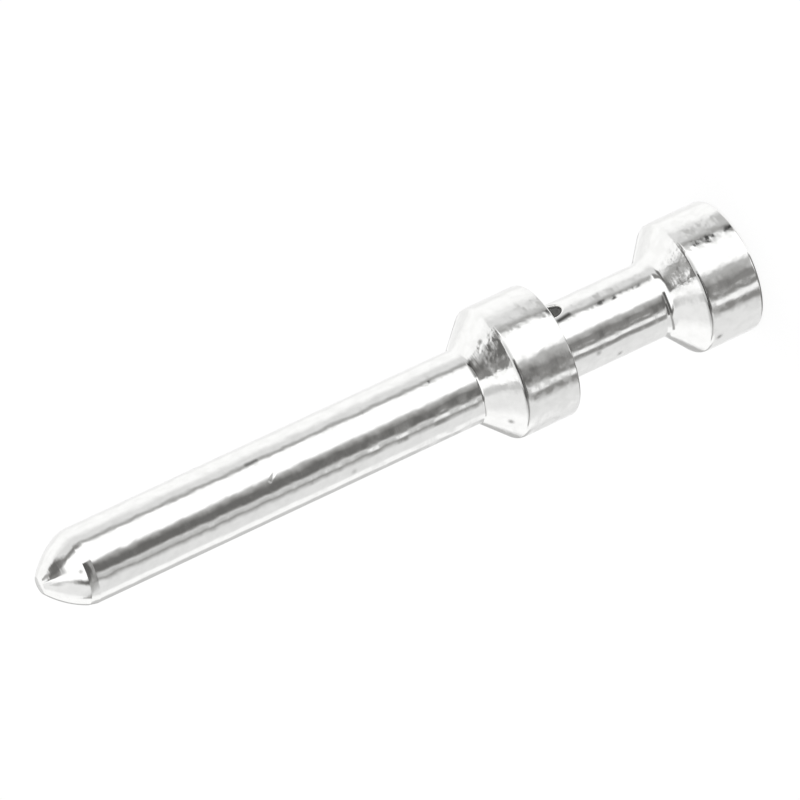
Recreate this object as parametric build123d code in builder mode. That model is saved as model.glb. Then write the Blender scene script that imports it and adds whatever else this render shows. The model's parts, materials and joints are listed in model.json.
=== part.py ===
from build123d import *
import os
from math import radians, tan

# A turned pin contact, one solid of revolution with a blind wire bore and a sight hole.
# It stands on its rear face: the origin is that face's centre and +Z runs along the axis to the tip.
# All sizes are in millimetres.

# Front end, from the tip backwards
tip_diameter = 0.58
tip_edge_radius = 0.12
nose_length = 1.2
nose_bulge_height = 0.09
nose_base_diameter = 2.38
land_length = 0.27
pin_diameter = 2.5
pin_length = 13.8

# Locating collar behind its conical shoulder
shoulder_length = 1.0
collar_diameter = 4.44
collar_length = 1.9

# Crimp barrel, and the flared bell at its rear
barrel_diameter = 2.5
barrel_length = 4.05
flare_length = 0.86
bell_diameter = 4.44
bell_length = 1.94

# Edge breaks and corner radii
shoulder_root_radius = 0.15
collar_front_radius = 0.25
collar_rear_radius = 0.06
barrel_root_radius = 0.04
flare_root_radius = 0.45
bell_front_radius = 0.2
bell_rear_radius = 0.12

# Wire bore, with its funnel and its drill point
bore_diameter = 1.15
bore_overrun = 0.4
drill_point_angle = 118.0
funnel_diameter = 3.3
funnel_angle = 90.0

# Sight hole, drilled from +X into the bore just behind the collar
sight_hole_diameter = 0.75
sight_hole_edge_break = 0.06
sight_hole_setback = 0.5

# Stations along the axis, measured up from the rear face
bell_front = bell_length
barrel_rear = bell_front + flare_length
collar_rear = barrel_rear + barrel_length
collar_front = collar_rear + collar_length
shoulder_front = collar_front + shoulder_length
pin_front = shoulder_front + pin_length
nose_base = pin_front + land_length
tip = nose_base + nose_length
sight_hole_height = collar_rear - sight_hole_setback
bore_end = sight_hole_height + sight_hole_diameter / 2 + bore_overrun

# Radii
tip_radius = tip_diameter / 2
nose_base_radius = nose_base_diameter / 2
pin_radius = pin_diameter / 2
collar_radius = collar_diameter / 2
barrel_radius = barrel_diameter / 2
bell_radius = bell_diameter / 2
bore_radius = bore_diameter / 2
funnel_radius = funnel_diameter / 2
sight_hole_radius = sight_hole_diameter / 2

# Depths of the cones inside
funnel_depth = (funnel_radius - bore_radius) / tan(radians(funnel_angle / 2))
drill_point_depth = bore_radius / tan(radians(drill_point_angle / 2))

with BuildPart() as contact:
    # Half section of the outside, turned about the axis
    with BuildSketch(Plane.XZ):
        with BuildLine():
            tip_face = Line((0, tip), (tip_radius, tip))
            nose = SagittaArc(tip_face @ 1, (nose_base_radius, nose_base), nose_bulge_height)
            land = Line(nose @ 1, (pin_radius, pin_front))
            body = FilletPolyline(
                land @ 1,
                (pin_radius, shoulder_front),
                (collar_radius, collar_front),
                (collar_radius, collar_rear),
                (barrel_radius, collar_rear),
                (barrel_radius, barrel_rear),
                (bell_radius, bell_front),
                (bell_radius, 0),
                (0, 0),
                radius=[
                    shoulder_root_radius,
                    collar_front_radius,
                    collar_rear_radius,
                    barrel_root_radius,
                    flare_root_radius,
                    bell_front_radius,
                    bell_rear_radius,
                ],
            )
            Line(body @ 1, tip_face @ 0)
        make_face()
    revolve(axis=Axis.Z)

    # Rounded edge of the tip
    tip_edge = contact.edges().filter_by(GeomType.CIRCLE).sort_by(Axis.Z)[-1]
    fillet(tip_edge, radius=tip_edge_radius)

    # Half section of the blind wire bore
    with BuildSketch(Plane.XZ):
        with BuildLine():
            Polyline(
                (0, 0),
                (funnel_radius, 0),
                (bore_radius, funnel_depth),
                (bore_radius, bore_end),
                (0, bore_end + drill_point_depth),
                close=True,
            )
        make_face()
    revolve(axis=Axis.Z, mode=Mode.SUBTRACT)

    # Sight hole, from the axis out through one side of the barrel
    with BuildSketch(Plane(origin=(0, 0, sight_hole_height), z_dir=(1, 0, 0))):
        Circle(sight_hole_radius)
    extrude(amount=barrel_diameter, mode=Mode.SUBTRACT)

    # Broken edge around its mouth, a short cone that widens to the barrel's outside
    with BuildSketch(Plane(origin=(barrel_radius, 0, sight_hole_height), z_dir=(-1, 0, 0))):
        Circle(sight_hole_radius + sight_hole_edge_break)
    extrude(amount=sight_hole_edge_break, taper=45, mode=Mode.SUBTRACT)

contact.part.label = "pin_contact"

os.makedirs("parts", exist_ok=True)
export_step(contact.part, "parts/pin_contact.step")
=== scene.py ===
import json
from collections import namedtuple
from math import atan2, ceil, cos, pi, radians, sin, sqrt, tan

import bmesh
import bpy
from mathutils import Matrix, Vector


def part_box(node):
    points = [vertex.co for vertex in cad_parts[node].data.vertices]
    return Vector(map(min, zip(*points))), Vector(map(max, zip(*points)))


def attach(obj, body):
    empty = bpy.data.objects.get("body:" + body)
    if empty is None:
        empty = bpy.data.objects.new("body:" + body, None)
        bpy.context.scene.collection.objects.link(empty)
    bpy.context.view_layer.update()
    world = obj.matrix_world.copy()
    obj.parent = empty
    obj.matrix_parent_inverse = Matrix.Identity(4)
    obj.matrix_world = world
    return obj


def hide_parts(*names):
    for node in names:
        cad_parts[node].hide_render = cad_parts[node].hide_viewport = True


# A turned, silver-plated pin contact, standing on its rear face with its tip up.
# The outline's sizes are in millimetres and MM turns them into Blender's metres.
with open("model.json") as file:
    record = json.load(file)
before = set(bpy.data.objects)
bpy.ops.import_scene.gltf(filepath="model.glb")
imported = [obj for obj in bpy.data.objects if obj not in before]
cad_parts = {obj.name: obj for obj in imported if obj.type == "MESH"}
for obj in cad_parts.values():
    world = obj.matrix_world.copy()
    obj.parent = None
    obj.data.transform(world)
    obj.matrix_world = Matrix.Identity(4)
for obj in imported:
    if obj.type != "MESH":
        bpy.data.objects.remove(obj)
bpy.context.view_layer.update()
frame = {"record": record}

MM = 0.001

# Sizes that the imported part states
mounts = {mount["name"]: mount for mount in frame["record"]["mounts"]}
tip_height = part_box("pin_contact")[1].z / MM
collar_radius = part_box("pin_contact")[1].x / MM
pin_radius = mounts["pin"]["dims"]["r_mm"]
bore_radius = mounts["wire_bore"]["dims"]["r_mm"]
bore_end = mounts["wire_bore"]["pos_m"][2] / MM + mounts["wire_bore"]["dims"]["length_mm"] / 2
collar_rear = mounts["retention_collar"]["pos_m"][2] / MM

# Front end
TIP_RADIUS = 0.29
TIP_DOME = 0.03
NOSE_BULGE = 0.09
NOSE_BASE_RADIUS = 1.19
LAND_LENGTH = 0.27
PIN_LENGTH = 13.8

# Collar, barrel and bell
SHOULDER_LENGTH = 1.0
COLLAR_LENGTH = 1.9
BARREL_RADIUS = 1.25
BELL_LENGTH = 1.94
FLARE_LENGTH = 0.86

# Wire bore, and the sight hole through the barrel's +X side
FUNNEL_RADIUS = 1.65
FUNNEL_SLOPE = radians(45)
DRILL_POINT_SLOPE = radians(59)
SIGHT_HOLE_RADIUS = 0.36
SIGHT_HOLE_EDGE = 0.09
SIGHT_HOLE_SETBACK = 0.5

# Roundings of the edges and corners
TIP_EDGE = 0.12
LAND_EDGE = 0.03
SHOULDER_ROOT = 0.15
COLLAR_FRONT_EDGE = 0.25
COLLAR_REAR_EDGE = 0.06
BARREL_ROOT = 0.04
FLARE_ROOT = 0.45
BELL_FRONT_EDGE = 0.2
BELL_REAR_EDGE = 0.12
BORE_EDGE = 0.04

# How finely the turned skin is divided
COLUMNS = 240
ARC_STEP = radians(6)
STRETCH = 0.25
TIP_PARTS = 3
NOSE_PARTS = 24
SAME_PLACE = 1e-6
SHARP_EDGE = radians(40)

# Windows that the sight hole leaves in the barrel and in the bore, as high as they can be below the collar
WINDOW_HALF_HEIGHT = SIGHT_HOLE_SETBACK - BARREL_ROOT
WINDOW_PARTS = 20
WINDOW_HALF_COLUMNS = 32
WINDOW_RINGS = 5
MOUTH_RINGS = 6
WALL_RINGS = 6

# Stations up from the rear face
sight_hole_height = collar_rear - SIGHT_HOLE_SETBACK
collar_front = collar_rear + COLLAR_LENGTH
shoulder_front = collar_front + SHOULDER_LENGTH
pin_front = shoulder_front + PIN_LENGTH
nose_base = pin_front + LAND_LENGTH
barrel_rear = BELL_LENGTH + FLARE_LENGTH
funnel_depth = (FUNNEL_RADIUS - bore_radius) / tan(FUNNEL_SLOPE)
drill_point_depth = bore_radius / tan(DRILL_POINT_SLOPE)


def nose_arc():
    """Points on the nose's bulged arc, from the tip's edge to the land."""
    start = Vector((TIP_RADIUS, tip_height - TIP_DOME))
    end = Vector((NOSE_BASE_RADIUS, nose_base))
    half_chord = (end - start).length / 2
    radius = (half_chord**2 + NOSE_BULGE**2) / (2 * NOSE_BULGE)
    inward = Vector((end.y - start.y, start.x - end.x)).normalized()
    centre = (start + end) / 2 + inward * (radius - NOSE_BULGE)
    first, last = (atan2(point.y - centre.y, point.x - centre.x) for point in (start, end))
    angles = (first + (last - first) * part / NOSE_PARTS for part in range(NOSE_PARTS + 1))
    return [centre + radius * Vector((cos(angle), sin(angle))) for angle in angles]


def tip_dome():
    """Corners from the axis across the slightly domed tip, short of its edge."""
    shares = [part / TIP_PARTS for part in range(TIP_PARTS)]
    return [(TIP_RADIUS * share, tip_height - TIP_DOME * share**2, 0) for share in shares]


def window_stretch(radius):
    """Corners in line that divide a wall evenly from the bottom of its window to the top."""
    low = sight_hole_height - WINDOW_HALF_HEIGHT
    step = 2 * WINDOW_HALF_HEIGHT / WINDOW_PARTS
    return [(radius, low + step * part, 0) for part in range(WINDOW_PARTS + 1)]


def outline_corners():
    """The section's corners as (radius, height, rounding), from the tip round the rear into the bore."""
    nose = nose_arc()
    return [
        *tip_dome(),
        (*nose[0], TIP_EDGE),
        *((*point, 0) for point in nose[1:-1]),
        (*nose[-1], LAND_EDGE),
        (pin_radius, pin_front, LAND_EDGE),
        (pin_radius, shoulder_front, SHOULDER_ROOT),
        (collar_radius, collar_front, COLLAR_FRONT_EDGE),
        (collar_radius, collar_rear, COLLAR_REAR_EDGE),
        (BARREL_RADIUS, collar_rear, BARREL_ROOT),
        *reversed(window_stretch(BARREL_RADIUS)),
        (BARREL_RADIUS, barrel_rear, FLARE_ROOT),
        (collar_radius, BELL_LENGTH, BELL_FRONT_EDGE),
        (collar_radius, 0, BELL_REAR_EDGE),
        (FUNNEL_RADIUS, 0, BORE_EDGE),
        (bore_radius, funnel_depth, BORE_EDGE),
        *window_stretch(bore_radius),
        (bore_radius, bore_end, BORE_EDGE),
        (0, bore_end + drill_point_depth, 0),
    ]


def rounded_corner(before, corner, after, rounding):
    """Points of the arc that rounds a corner between its two neighbours."""
    back = (before - corner).normalized()
    on = (after - corner).normalized()
    turn = pi - back.angle(on)
    middle = (back + on).normalized()
    centre = corner + middle * rounding / cos(turn / 2)
    start = corner + back * rounding * tan(turn / 2) - centre
    parts = ceil(turn / ARC_STEP)
    side = 1 if back.x * on.y - back.y * on.x < 0 else -1
    turns = (Matrix.Rotation(side * turn * part / parts, 2) for part in range(parts + 1))
    return [centre + rotation @ start for rotation in turns]


def outline():
    """The section's outline as (radius, height) points, with its arcs and divided straight stretches."""
    corners = outline_corners()
    places = [Vector(corner[:2]) for corner in corners]
    points = [places[0]]
    for index, (radius, height, rounding) in enumerate(corners[1:], 1):
        if rounding:
            reached = rounded_corner(places[index - 1], places[index], places[index + 1], rounding)
        else:
            reached = [places[index]]
        start = points[-1]
        stretch = (reached[0] - start).length
        if stretch < SAME_PLACE:
            points += reached[1:]
            continue
        parts = ceil(stretch / STRETCH)
        points += [start.lerp(reached[0], part / parts) for part in range(1, parts)]
        points += reached
    return points


def add_ring(mesh, point):
    """A ring of vertices about the axis, or one vertex where the outline meets it."""
    if point.x < SAME_PLACE:
        return [mesh.verts.new((0, 0, point.y * MM))]
    angles = (2 * pi * column / COLUMNS for column in range(COLUMNS))
    places = (Vector((cos(angle) * point.x, sin(angle) * point.x, point.y)) for angle in angles)
    return [mesh.verts.new(place * MM) for place in places]


def window_rows(points, radius):
    """The rows of a wall's window, from its lowest to its highest."""
    low = sight_hole_height - WINDOW_HALF_HEIGHT
    high = sight_hole_height + WINDOW_HALF_HEIGHT
    inside = [
        row for row, point in enumerate(points)
        if abs(point.x - radius) < SAME_PLACE and low - SAME_PLACE < point.y < high + SAME_PLACE
    ]
    return sorted(inside, key=lambda row: points[row].y)


def window_rim(rings, rows):
    """The vertices round a window, in turn from the middle of its +Y side and up."""
    half = WINDOW_HALF_COLUMNS
    right = [(row, half) for row in rows]
    top = [(rows[-1], column) for column in range(half - 1, -half, -1)]
    left = [(row, -half) for row in reversed(rows)]
    bottom = [(rows[0], column) for column in range(1 - half, half)]
    path = right + top + left + bottom
    middle = len(rows) // 2
    return [rings[row][column % COLUMNS] for row, column in path[middle:] + path[:middle]]


def skin_rings(mesh, rings, windows):
    """Faces between neighbouring rings, left out where a window is."""
    for row, (ring, following) in enumerate(zip(rings, rings[1:])):
        for column in range(COLUMNS):
            if (row, column) in windows:
                continue
            beside = column + 1
            loop = [
                ring[column % len(ring)],
                ring[beside % len(ring)],
                following[beside % len(following)],
                following[column % len(following)],
            ]
            mesh.faces.new(dict.fromkeys(loop))


def skin_loops(mesh, loops):
    """Faces between neighbouring closed loops of equal length."""
    for loop, following in zip(loops, loops[1:]):
        for index in range(len(loop)):
            beside = (index + 1) % len(loop)
            mesh.faces.new((loop[index], loop[beside], following[beside], following[index]))


def hole_loop(mesh, count, wall_radius, hole_radius, sink=0.0):
    """A loop round the sight hole, on a wall's surface or sunk below it."""
    loop = []
    for index in range(count):
        angle = 2 * pi * index / count
        across = hole_radius * cos(angle)
        height = sight_hole_height + hole_radius * sin(angle)
        outward = sqrt(wall_radius**2 - across**2) - sink
        loop.append(mesh.verts.new(Vector((outward, across, height)) * MM))
    return loop


def spread_loops(mesh, rim, circle, wall_radius):
    """Loops on a wall that spread from the hole's circle to the rim of its window."""
    loops = []
    for ring in range(1, WINDOW_RINGS):
        share = ring / WINDOW_RINGS
        loop = []
        for outer, inner in zip(rim, circle):
            angle = atan2(outer.co.y, outer.co.x) * (1 - share) + atan2(inner.co.y, inner.co.x) * share
            height = outer.co.z * (1 - share) + inner.co.z * share
            radius = wall_radius * MM
            loop.append(mesh.verts.new((radius * cos(angle), radius * sin(angle), height)))
        loops.append(loop)
    return loops


def drill_sight_hole(mesh, outer_rim, inner_rim):
    """The hole's rounded mouth in the barrel, its wall, and its edge in the bore."""
    count = len(outer_rim)
    mouth = []
    for ring in range(MOUTH_RINGS + 1):
        angle = pi / 2 * ring / MOUTH_RINGS
        radius = SIGHT_HOLE_RADIUS + SIGHT_HOLE_EDGE * (1 - sin(angle))
        mouth.append(hole_loop(mesh, count, BARREL_RADIUS, radius, SIGHT_HOLE_EDGE * (1 - cos(angle))))
    inner_circle = hole_loop(mesh, count, bore_radius, SIGHT_HOLE_RADIUS)
    wall = []
    for ring in range(1, WALL_RINGS):
        share = ring / WALL_RINGS
        places = (outer.co.lerp(inner.co, share) for outer, inner in zip(mouth[-1], inner_circle))
        wall.append([mesh.verts.new(place) for place in places])
    skin_loops(mesh, [
        outer_rim,
        *spread_loops(mesh, outer_rim, mouth[0], BARREL_RADIUS),
        *mouth,
        *wall,
        inner_circle,
        *reversed(spread_loops(mesh, inner_rim, inner_circle, bore_radius)),
        inner_rim,
    ])


def turned_contact():
    """The whole contact as one closed skin, turned about the axis and drilled from +X."""
    points = outline()
    mesh = bmesh.new()
    rings = [add_ring(mesh, point) for point in points]
    window_columns = [column % COLUMNS for column in range(-WINDOW_HALF_COLUMNS, WINDOW_HALF_COLUMNS)]
    rims = []
    windows = set()
    for radius in (BARREL_RADIUS, bore_radius):
        rows = window_rows(points, radius)
        windows |= {(row, column) for row in range(min(rows), max(rows)) for column in window_columns}
        rims.append(window_rim(rings, rows))
    skin_rings(mesh, rings, windows)
    drill_sight_hole(mesh, *rims)
    bmesh.ops.delete(mesh, geom=[vert for vert in mesh.verts if not vert.link_faces], context="VERTS")
    bmesh.ops.recalc_face_normals(mesh, faces=mesh.faces)
    data = bpy.data.meshes.new("turned_contact")
    mesh.to_mesh(data)
    mesh.free()
    data.polygons.foreach_set("use_smooth", [True] * len(data.polygons))
    data.set_sharp_from_angle(angle=SHARP_EDGE)
    piece = bpy.data.objects.new("turned_contact", data)
    bpy.context.scene.collection.objects.link(piece)
    return piece


def add(tree, kind, inputs=None, **settings):
    """A new shader node. Its inputs are values, or sockets of other nodes to link from."""
    made = tree.nodes.new(kind)
    for name, value in settings.items():
        setattr(made, name, value)
    for socket, value in (inputs or {}).items():
        if isinstance(value, bpy.types.NodeSocket):
            tree.links.new(value, made.inputs[socket])
        else:
            made.inputs[socket].default_value = value
    return made


def calc(tree, operation, first, second=0.0, third=0.0):
    """The result of one sum on values or sockets."""
    return add(tree, "ShaderNodeMath", {0: first, 1: second, 2: third}, operation=operation).outputs[0]


def fade(tree, value, start, end, low=0.0, high=1.0):
    """A smooth change from low to high as value goes from start to end."""
    inputs = {"Value": value, "From Min": start, "From Max": end, "To Min": low, "To Max": high}
    return add(tree, "ShaderNodeMapRange", inputs, interpolation_type="SMOOTHSTEP").outputs["Result"]


def mix(tree, share, low, high):
    """A value between low and high, by the share of high in it."""
    return add(tree, "ShaderNodeMix", {0: share, 2: low, 3: high}, data_type="FLOAT").outputs[0]


def blend(tree, share, low, high):
    """A colour between low and high, by the share of high in it."""
    inputs = {"Factor": share, "A": low, "B": high}
    return add(tree, "ShaderNodeMix", inputs, data_type="RGBA").outputs["Result"]


def distance(tree, first, second):
    """How far one place is from another."""
    return add(tree, "ShaderNodeVectorMath", {0: first, 1: second}, operation="DISTANCE").outputs["Value"]


def noise(tree, place, scale, detail=1):
    """A value that wanders about a half from place to place, the quicker the larger the scale."""
    inputs = {"Vector": place, "Scale": scale, "Detail": detail}
    return add(tree, "ShaderNodeTexNoise", inputs).outputs[0]


def relief(tree, height, depth, under=None):
    """The surface's normal with one more relief, on top of the relief under it."""
    inputs = {"Height": height, "Distance": depth}
    if under is not None:
        inputs["Normal"] = under
    return add(tree, "ShaderNodeBump", inputs).outputs[0]


# Marks in the plating, and strokes of painted shade. Their azimuths are in degrees round the axis from
# the sight hole's side, anticlockwise from above, and their lengths are in millimetres.
# A round mark has its azimuth, its height, its distance from the axis, its own radius and its strength.
SPECKS = [
    (-118.6, 9.16, 1.82, 0.17, 1),
    (-20.7, 9.2, 1.79, 0.14, 1),
    (-119.8, 1.66, 2.22, 0.19, 1),
    (-98.7, 5.56, 1.25, 0.15, 0.7),
    (-120.4, 4.77, 1.25, 0.16, 0.9),
    (-64.8, 23.95, 1.13, 0.11, 0.6),
    (-105.4, 14.53, 1.25, 0.16, 0.5),
    (62, 20.4, 1.25, 0.13, 1),
    (151, 12.7, 1.25, 0.15, 1),
    (115, 7.4, 2.22, 0.15, 1),
    (-170, 4.1, 1.25, 0.13, 1),
]
DENTS = [
    (88, 15.2, 1.25, 0.12, 0.8),
    (176, 19.6, 1.25, 0.12, 0.6),
    (140, 1.1, 2.22, 0.14, 0.8),
]

# A stroke is a longer mark. It has the azimuth and height of one end and then of the other, its distance from
# the axis, half its width and its strength.
# Dark strokes painted into the colour. The first is painted shade beside the sight hole's mouth, the last is
# painted shade in the corner at the shoulder's root, and the middle one is a short dark stroke on the pin.
SHADE_AND_DARK_STROKES = [
    (-27.5, 6.38, -24.5, 5.97, 1.25, 0.13, 0.95),
    (-25.4, 17.36, -25, 17.7, 1.25, 0.12, 0.6),
    (-50, 9.74, -30, 9.74, 1.27, 0.1, 0.9),
]
SCRATCHES = [
    (-51, 17, -61.5, 17.27, 1.25, 0.09, 1.3),
    (70, 13.1, 84, 13.5, 1.25, 0.06, 0.8),
    (-160, 21.3, -172, 20.9, 1.25, 0.06, 0.7),
]
DENT_DEPTH = 5e-6

# Painted shade: a dark line painted into the colour along the front edges of the collar and the bell, on one
# side only, for the dark that those edges reflect there. Each has its distance from the axis, its height,
# half the dark line's width and its strength. The fade says how squarely a place has to face that side for
# the line to come in.
PAINTED_EDGE_SHADE_LINES = [
    (2.205, 8.76, 0.1, 0.5),
    (2.205, 1.95, 0.11, 0.55),
]
PAINTED_EDGE_SHADE_SIDE = radians(-68)
PAINTED_EDGE_SHADE_FADE = (0.78, 0.92)

# The plating's relief, with its depths in metres. A noise's scale is about how many times it changes in a
# metre. Rings go round the axis, grooves are short pieces of ring, pits are fine, skin is coarser and swell
# is the broadest wave.
RINGS_SCALE = 14000
RINGS_DETAIL = 3
RINGS_HARSHNESS = 0.6
RINGS_DEPTH = 0.3e-6
GROOVES_ROUND_SCALE = 1500
GROOVES_ALONG_SCALE = 6500
GROOVES_DEPTH = 2.5e-6
PITS_SCALE = 5000
PITS_DEPTH = 10e-6
SKIN_SCALE = 2700
SKIN_DEPTH = 9e-6
SWELL_SCALE = 1100
SWELL_DEPTH = 26e-6

# The relief is strong on the scuffed side, on the wide parts and on the cones, whose normals rise. A share is
# what is left of it elsewhere, and a fade is where it comes in.
SCUFFED_SIDE = radians(33)
SCUFFED_FADE = (-0.2, 0.05)
UNSCUFFED_SHARE = 0.35
LEAST_SWELL_SHARE = 0.8
SLIM_RADIUS = 1.35
WIDE_RADIUS = 1.8
SLIM_SHARE = 0.1
CONE_FADE = (0.3, 0.6)
GROOVES_OFF_CONE_SHARE = 0.15
GROOVES_OFF_FRONT_SHARE = 0.35
PITS_OFF_CONE_SHARE = 0.28

# Colours of the plating, with its duller clouds, its specks, and its painted shade and dark strokes
SILVER = (0.93, 0.93, 0.92, 1)
CLOUDED_SILVER = (0.88, 0.88, 0.87, 1)
SPECK_COLOR = (0.45, 0.45, 0.44, 1)
SHADE_AND_STROKE_COLOR = (0.12, 0.12, 0.115, 1)
CLOUD_SCALE = 2500
CLOUD_DETAIL = 2
CLOUD_FADE = (0.35, 0.7)

# Roughness of the plating, and what the grain, the specks and the bore's inside add to it
LEAST_ROUGHNESS = 0.08
GRAIN_SCALE = 4000
GRAIN_FADE = (0.4, 0.7)
GRAIN_ROUGHNESS_SLIM = 0.06
GRAIN_ROUGHNESS_WIDE = 0.14
SPECK_ROUGHNESS = 0.3
BORE_ROUGHNESS = 0.4
BORE_ZONE_RADIUS = 1.1
BORE_ZONE_HEIGHT = 8


def on_skin(azimuth, height, radius):
    """A place given by its azimuth in degrees and by its height and distance from the axis in millimetres."""
    return Vector((radius * cos(radians(azimuth)), radius * sin(radians(azimuth)), height)) * MM


def marks(tree, place, group):
    """How strong a group of round marks is at the shaded point, at its most in a mark's middle."""
    total = 0.0
    for azimuth, height, radius, size, strength in group:
        offset = distance(tree, place, on_skin(azimuth, height, radius))
        total = calc(tree, "MAXIMUM", total, fade(tree, offset, 0, size * MM, strength, 0))
    return total


def strokes(tree, place, group):
    """How strong a group of strokes is at the shaded point, at its most along a stroke's middle."""
    total = 0.0
    for azimuth, height, last_azimuth, last_height, radius, half_width, strength in group:
        start = on_skin(azimuth, height, radius)
        reach = on_skin(last_azimuth, last_height, radius) - start
        offset = add(tree, "ShaderNodeVectorMath", {0: place, 1: start}, operation="SUBTRACT").outputs[0]
        inputs = {0: offset, 1: reach / reach.length**2}
        along = add(tree, "ShaderNodeVectorMath", inputs, operation="DOT_PRODUCT").outputs["Value"]
        share = calc(tree, "MINIMUM", calc(tree, "MAXIMUM", along, 0), 1)
        nearest = add(tree, "ShaderNodeVectorMath", {0: reach, "Scale": share}, operation="SCALE").outputs[0]
        aside = distance(tree, offset, nearest)
        total = calc(tree, "MAXIMUM", total, fade(tree, aside, 0, half_width * MM, strength, 0))
    return total


def facing(tree, axes, out, azimuth):
    """How far a place round the axis is toward an azimuth, from 1 on that side to -1 on the other."""
    toward = calc(tree, "MULTIPLY", axes[0], cos(azimuth))
    toward = calc(tree, "MULTIPLY_ADD", axes[1], sin(azimuth), toward)
    return calc(tree, "DIVIDE", toward, out)


def painted_edge_shade(tree, axes, out):
    """How strong the painted shade along the front edges of the collar and the bell is at the shaded point.
    """
    section = add(tree, "ShaderNodeCombineXYZ", {0: out, 1: axes[2]}).outputs[0]
    total = 0.0
    for radius, height, half_width, strength in PAINTED_EDGE_SHADE_LINES:
        offset = distance(tree, section, Vector((radius, height, 0)) * MM)
        total = calc(tree, "MAXIMUM", total, fade(tree, offset, 0, half_width * MM, strength, 0))
    on_side = fade(tree, facing(tree, axes, out, PAINTED_EDGE_SHADE_SIDE), *PAINTED_EDGE_SHADE_FADE)
    return calc(tree, "MULTIPLY", total, on_side)


def plating_color(tree, place, axes, out, specks):
    """Bright silver, a little clouded, with its specks and dark strokes, and painted shade at edges and
    corners.
    """
    clouds = fade(tree, noise(tree, place, CLOUD_SCALE, CLOUD_DETAIL), *CLOUD_FADE)
    color = blend(tree, clouds, SILVER, CLOUDED_SILVER)
    color = blend(tree, specks, color, SPECK_COLOR)
    # Painted shade at the front edges, the sight hole and the shoulder's root is laid into the colour here.
    shade_and_strokes = calc(tree, "MAXIMUM", strokes(tree, place, SHADE_AND_DARK_STROKES), painted_edge_shade(tree, axes, out))
    return blend(tree, shade_and_strokes, color, SHADE_AND_STROKE_COLOR)


def plating_roughness(tree, place, axes, out, wide, specks):
    """How rough the silver is, most of all in its specks and inside the bore."""
    grain = fade(tree, noise(tree, place, GRAIN_SCALE), *GRAIN_FADE)
    grain = calc(tree, "MULTIPLY", grain, fade(tree, wide, 0, 1, GRAIN_ROUGHNESS_SLIM, GRAIN_ROUGHNESS_WIDE))
    inside = calc(tree, "LESS_THAN", out, BORE_ZONE_RADIUS * MM)
    in_bore = calc(tree, "MULTIPLY", inside, calc(tree, "LESS_THAN", axes[2], BORE_ZONE_HEIGHT * MM))
    rough = calc(tree, "MULTIPLY_ADD", specks, SPECK_ROUGHNESS, grain)
    rough = calc(tree, "MULTIPLY_ADD", in_bore, BORE_ROUGHNESS, rough)
    return calc(tree, "ADD", rough, LEAST_ROUGHNESS)


def turned_grooves(tree, axes, along):
    """Noise drawn out round the axis, as a turning tool leaves it."""
    drawn_out = add(tree, "ShaderNodeCombineXYZ", {
        0: calc(tree, "MULTIPLY", axes[0], GROOVES_ROUND_SCALE),
        1: calc(tree, "MULTIPLY", axes[1], GROOVES_ROUND_SCALE),
        2: calc(tree, "MULTIPLY", along, GROOVES_ALONG_SCALE),
    }).outputs[0]
    return noise(tree, drawn_out, 1)


def plating_normal(tree, place, axes, out, wide):
    """The surface's normal with all its relief, which is strongest on the scuffed side."""
    along = calc(tree, "SUBTRACT", axes[2], out)
    normal = add(tree, "ShaderNodeTexCoord").outputs["Normal"]
    slope = add(tree, "ShaderNodeSeparateXYZ", {0: normal}).outputs[2]
    scuffed = fade(tree, facing(tree, axes, out, SCUFFED_SIDE), *SCUFFED_FADE, UNSCUFFED_SHARE, 1)
    on_front = fade(tree, axes[2], collar_rear * MM, collar_front * MM, GROOVES_OFF_FRONT_SHARE, 1)
    grooved = calc(tree, "MULTIPLY", on_front, fade(tree, slope, *CONE_FADE, GROOVES_OFF_CONE_SHARE, 1))
    pitted = calc(tree, "MULTIPLY", wide, fade(tree, slope, *CONE_FADE, PITS_OFF_CONE_SHARE, 1))
    swelled = fade(tree, scuffed, 0, 1, LEAST_SWELL_SHARE, 1)

    ring_inputs = {"W": along, "Scale": RINGS_SCALE, "Detail": RINGS_DETAIL, "Roughness": RINGS_HARSHNESS}
    rings = add(tree, "ShaderNodeTexNoise", ring_inputs, noise_dimensions="1D").outputs[0]
    grooves = calc(tree, "MULTIPLY", turned_grooves(tree, axes, along), grooved)
    pits = calc(tree, "MULTIPLY", noise(tree, place, PITS_SCALE), calc(tree, "MULTIPLY", scuffed, pitted))
    skin = calc(tree, "MULTIPLY", noise(tree, place, SKIN_SCALE), scuffed)
    swell = calc(tree, "MULTIPLY", noise(tree, place, SWELL_SCALE), swelled)
    dents = calc(tree, "MAXIMUM", marks(tree, place, DENTS), strokes(tree, place, SCRATCHES))

    normal = relief(tree, rings, RINGS_DEPTH)
    normal = relief(tree, grooves, GROOVES_DEPTH, normal)
    normal = relief(tree, pits, PITS_DEPTH, normal)
    normal = relief(tree, skin, SKIN_DEPTH, normal)
    normal = relief(tree, swell, SWELL_DEPTH, normal)
    return relief(tree, dents, -DENT_DEPTH, normal)


def silver_plating():
    """Bright silver over a turned surface, with rings, scuffs, a few specks, dark strokes and dents, and
    painted shade.
    """
    material = bpy.data.materials.new("silver_plating")
    material.use_nodes = True
    tree = material.node_tree
    shader = tree.nodes["Principled BSDF"]
    place = add(tree, "ShaderNodeTexCoord").outputs["Object"]
    axes = add(tree, "ShaderNodeSeparateXYZ", {0: place}).outputs
    squares = [calc(tree, "POWER", axis, 2) for axis in axes[:2]]
    out = calc(tree, "SQRT", calc(tree, "ADD", *squares))
    wide = fade(tree, out, SLIM_RADIUS * MM, WIDE_RADIUS * MM, SLIM_SHARE, 1)
    specks = marks(tree, place, SPECKS)
    tree.links.new(plating_color(tree, place, axes, out, specks), shader.inputs["Base Color"])
    tree.links.new(plating_roughness(tree, place, axes, out, wide, specks), shader.inputs["Roughness"])
    tree.links.new(plating_normal(tree, place, axes, out, wide), shader.inputs["Normal"])
    shader.inputs["Metallic"].default_value = 1
    return material


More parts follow.
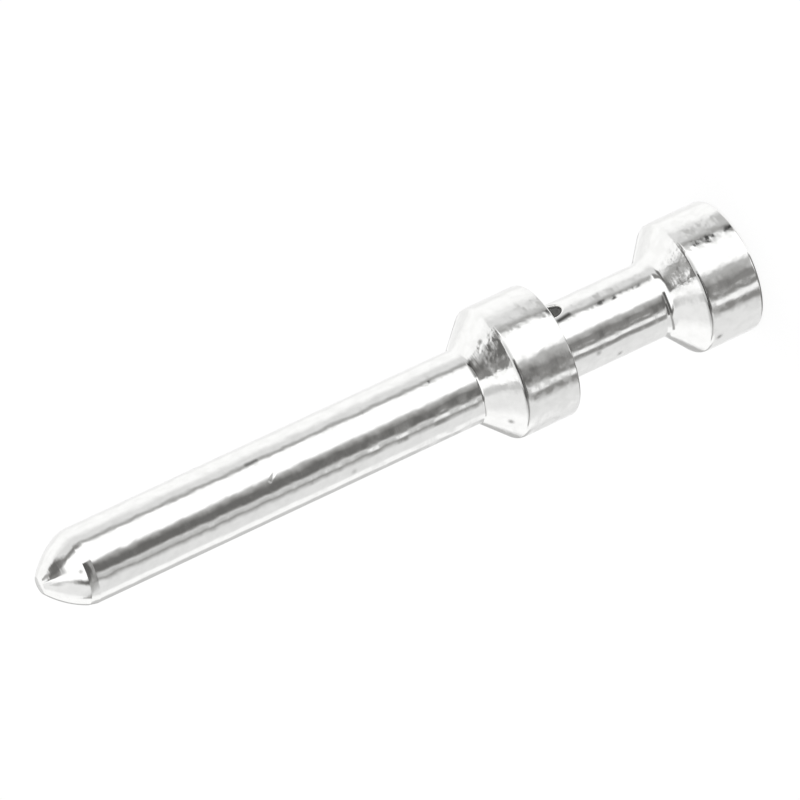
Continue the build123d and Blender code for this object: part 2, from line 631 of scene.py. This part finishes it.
# What the metal has round it: cards of one brightness each in a white studio, where a later card covers an
# earlier one. Azimuths are in degrees from the camera's side, up to 180 toward the photograph's lower right
# and down to -180 toward its upper left, and elevations are in degrees above the floor.
# An edge fades over its softness to either side, and end is that softness for the upper and lower edges where
# it isn't the same. A card's middle goes aside by its lean for each degree up, and up by its slant for each
# degree aside.
Card = namedtuple(
    "Card",
    "name azimuth half_width elevation half_height brightness softness lean slant end",
    defaults=(0, 0, 0),
)
STUDIO_CARDS = [
    Card("left wall", -74, 19, -20, 62, 0.775, 12),
    Card("right wall", 88, 21, -30, 55, 0.81, 6),
    Card("right wall top", 78, 30, 50, 30, 0.88, 8),
    Card("left edge", -151, 12, -10, 45, 0.94, 6),
    Card("right edge", 150, 17, -13.5, 7, 0.6, 6, end=0.8),
    Card("right edge top", 170, 16, 4, 20, 0.5, 5),
    Card("back post", 180, 9, -22, 24, 0.6, 6),
    Card("back wall", -178, 12, 16, 10, 0.72, 8),
    Card("low right wall", 130, 34, -29, 8.7, 0.83, 6, end=0.4),
    Card("softbox", -8, 53, -20, 72, 1.2, 3),
    Card("overhead softbox", 22, 20, 58, 14, 1.15, 6),
    Card("zenith flag", -44, 48, 68, 6, 0.4, 4),
    Card("flag skirt", -54, 18, 49, 7, 0.3, 5, 0, 0.3),
    Card("upper flag", -40, 43, 60, 9, 0.15, 6, 0, 0.3),
    Card("upper flag glow", -10, 16, 66, 9, 0.25, 12),
    Card("left post", -61.5, 6.5, -50, 42, 0.4, 6),
    Card("low left post", -55, 7, -29, 6.15, 0.05, 4, end=0.3),
    Card("low left wall", -80, 15, -29, 6.2, 0.55, 8, end=0.3),
    Card("left post top", -56, 8, 26, 22, 0.24, 4, 0.15),
    Card("flag fringe", 8, 9, -30, 40, 0.5, 6.5, 0.2),
    Card("black flag", 36.7, 15.3, -30, 30, 0.15, 8.5, -0.7, end=3),
    Card("low flag glow", 34, 12, -29, 8.4, 0.26, 4, end=0.4),
    Card("bell streak", 36.5, 2.5, -29, 6.3, 0.55, 2.5, end=0.3),
    Card("gap", 51, 3.5, -20, 16, 0.61, 5, -1.1, end=3),
    Card("right post", 62.4, 8, -20, 16, 0.32, 9, -1.1, end=3),
    Card("low gap", 54.3, 5.3, -29, 8.6, 1.04, 3, end=0.4),
    Card("low post", 67, 6.5, -29, 8.6, 0.26, 5, end=0.4),
    Card("right post top", 60, 7, 26, 17, 0.18, 5, -0.6),
    Card("right post tail", 51, 4, 46, 8, 0.6, 5, -0.6),
    Card("right post haze", 56, 13, 61, 7, 0.6, 6),
    Card("floor flag", 34, 40, -78, 22, 0.25, 8),
    Card("far floor flag", 124, 50, -66, 30, 0.2, 8),
    Card("shelf foot", 46, 18, -3, 8, 0.12, 3),
    Card("shelf", 29, 34, 14, 12, 0.11, 3),
    Card("shelf glow", 28, 32, 6.6, 1.8, 0.42, 1),
    Card("shelf end", 90, 30, 9, 6, 0.38, 3),
]
STUDIO_LEVEL = 1.06

# What is dark is a little warm, fully so at the first level of brightness and not at all from the second on
SHADE_LEVELS = (0.1, 0.7)
SHADE_TINT = (1, 0.985, 0.96, 1)
WHITE = (1, 1, 1, 1)

# The camera's side, in degrees from -Y toward +X
CAMERA_AZIMUTH = 33


def card_cover(tree, card, azimuth, elevation):
    """How much of a direction the card covers, from 0 to 1, soft at its edges."""
    turned = calc(tree, "WRAP", calc(tree, "SUBTRACT", azimuth, card.azimuth), 180, -180)
    raised = calc(tree, "SUBTRACT", elevation, card.elevation)
    aside = calc(tree, "SUBTRACT", turned, calc(tree, "MULTIPLY", raised, card.lean))
    above = calc(tree, "SUBTRACT", raised, calc(tree, "MULTIPLY", turned, card.slant))
    covers = []
    end = card.end or card.softness
    for offset, half, soft in ((aside, card.half_width, card.softness), (above, card.half_height, end)):
        away = calc(tree, "ABSOLUTE", offset)
        covers.append(fade(tree, away, half - soft, half + soft, 1, 0))
    return calc(tree, "MULTIPLY", *covers)


def studio_world():
    """Soft white surroundings with dark flags for the metal to reflect, and plain white behind the object."""
    world = bpy.data.worlds.new("studio")
    world.use_nodes = True
    tree = world.node_tree
    direction = add(tree, "ShaderNodeTexCoord").outputs["Generated"]
    axes = add(tree, "ShaderNodeSeparateXYZ", {0: direction}).outputs
    turn = calc(tree, "ARCTAN2", axes[1], axes[0])
    azimuth = calc(tree, "SUBTRACT", CAMERA_AZIMUTH - 90, calc(tree, "DEGREES", turn))
    elevation = calc(tree, "DEGREES", calc(tree, "ARCSINE", axes[2]))
    level = STUDIO_LEVEL
    for card in STUDIO_CARDS:
        cover = card_cover(tree, card, azimuth, elevation)
        level = mix(tree, cover, level, card.brightness)
    path = add(tree, "ShaderNodeLightPath").outputs
    plain = calc(tree, "MAXIMUM", path["Is Camera Ray"], path["Is Transmission Ray"])
    background = tree.nodes["Background"]
    tint = blend(tree, fade(tree, level, *SHADE_LEVELS), SHADE_TINT, WHITE)
    tree.links.new(tint, background.inputs["Color"])
    tree.links.new(mix(tree, plain, level, 1.0), background.inputs["Strength"])
    bpy.context.scene.world = world


# The floor's size is in metres, and the share of its real shading that the camera sees is its shadow
FLOOR_HALF_SIZE = 2.0
FLOOR_SHADOW = 0.25
FLOOR_COLOR = (0.9, 0.9, 0.9, 1)
FLOOR_WHITE = 1.1


def white_floor():
    """A plain white floor that keeps the object's soft shadow."""
    data = bpy.data.meshes.new("floor")
    half = FLOOR_HALF_SIZE
    corners = [(-half, -half, 0), (half, -half, 0), (half, half, 0), (-half, half, 0)]
    data.from_pydata(corners, [], [(0, 1, 2, 3)])
    floor = bpy.data.objects.new("floor", data)
    bpy.context.scene.collection.objects.link(floor)
    material = bpy.data.materials.new("white_floor")
    material.use_nodes = True
    tree = material.node_tree
    tree.nodes.clear()
    paint = add(tree, "ShaderNodeBsdfDiffuse", {"Color": FLOOR_COLOR}).outputs[0]
    white = add(tree, "ShaderNodeEmission", {"Color": WHITE, "Strength": FLOOR_WHITE}).outputs[0]
    path = add(tree, "ShaderNodeLightPath").outputs
    seen = calc(tree, "MAXIMUM", path["Is Camera Ray"], path["Is Transmission Ray"])
    share = calc(tree, "MULTIPLY", seen, 1 - FLOOR_SHADOW)
    mixed = add(tree, "ShaderNodeMixShader", {0: share, 1: paint, 2: white}).outputs[0]
    add(tree, "ShaderNodeOutputMaterial", {"Surface": mixed})
    data.materials.append(material)
    floor.visible_glossy = False


# The camera looks down at the standing contact from the side of its sight hole, and leans over so that the
# tip points to the lower left of the picture. Its aim is down and to the right of a point on the axis, as it
# sees the contact before it leans. The angles are in degrees and the lengths in millimetres.
CAMERA_ELEVATION = 19.8
CAMERA_LEAN = 115.0
CAMERA_DISTANCE = 199.56
CAMERA_LENS = 289.1
AIM_BELOW_TIP = 12.0
AIM_DOWN = 1.07
AIM_RIGHT = 0.473


def photo_camera():
    """The camera at the photograph's viewing angle."""
    azimuth = radians(CAMERA_AZIMUTH)
    elevation = radians(CAMERA_ELEVATION)
    back = Vector((sin(azimuth) * cos(elevation), -cos(azimuth) * cos(elevation), sin(elevation)))
    level = Vector((cos(azimuth), sin(azimuth), 0))
    rise = back.cross(level)
    data = bpy.data.cameras.new("camera")
    data.lens = CAMERA_LENS
    camera = bpy.data.objects.new("camera", data)
    bpy.context.scene.collection.objects.link(camera)
    lean = radians(CAMERA_LEAN)
    right = level * cos(lean) - rise * sin(lean)
    up = level * sin(lean) + rise * cos(lean)
    point = Vector((0, 0, tip_height - AIM_BELOW_TIP))
    aim = point - AIM_DOWN * rise + AIM_RIGHT * level
    place = (aim + CAMERA_DISTANCE * back) * MM
    camera.matrix_world = Matrix.Translation(place) @ Matrix((right, up, back)).transposed().to_4x4()
    bpy.context.scene.camera = camera


contact = turned_contact()
contact.data.materials.append(silver_plating())
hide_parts("pin_contact")
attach(contact, "root")

studio_world()
white_floor()
photo_camera()
bpy.context.scene.view_settings.view_transform = "Standard"
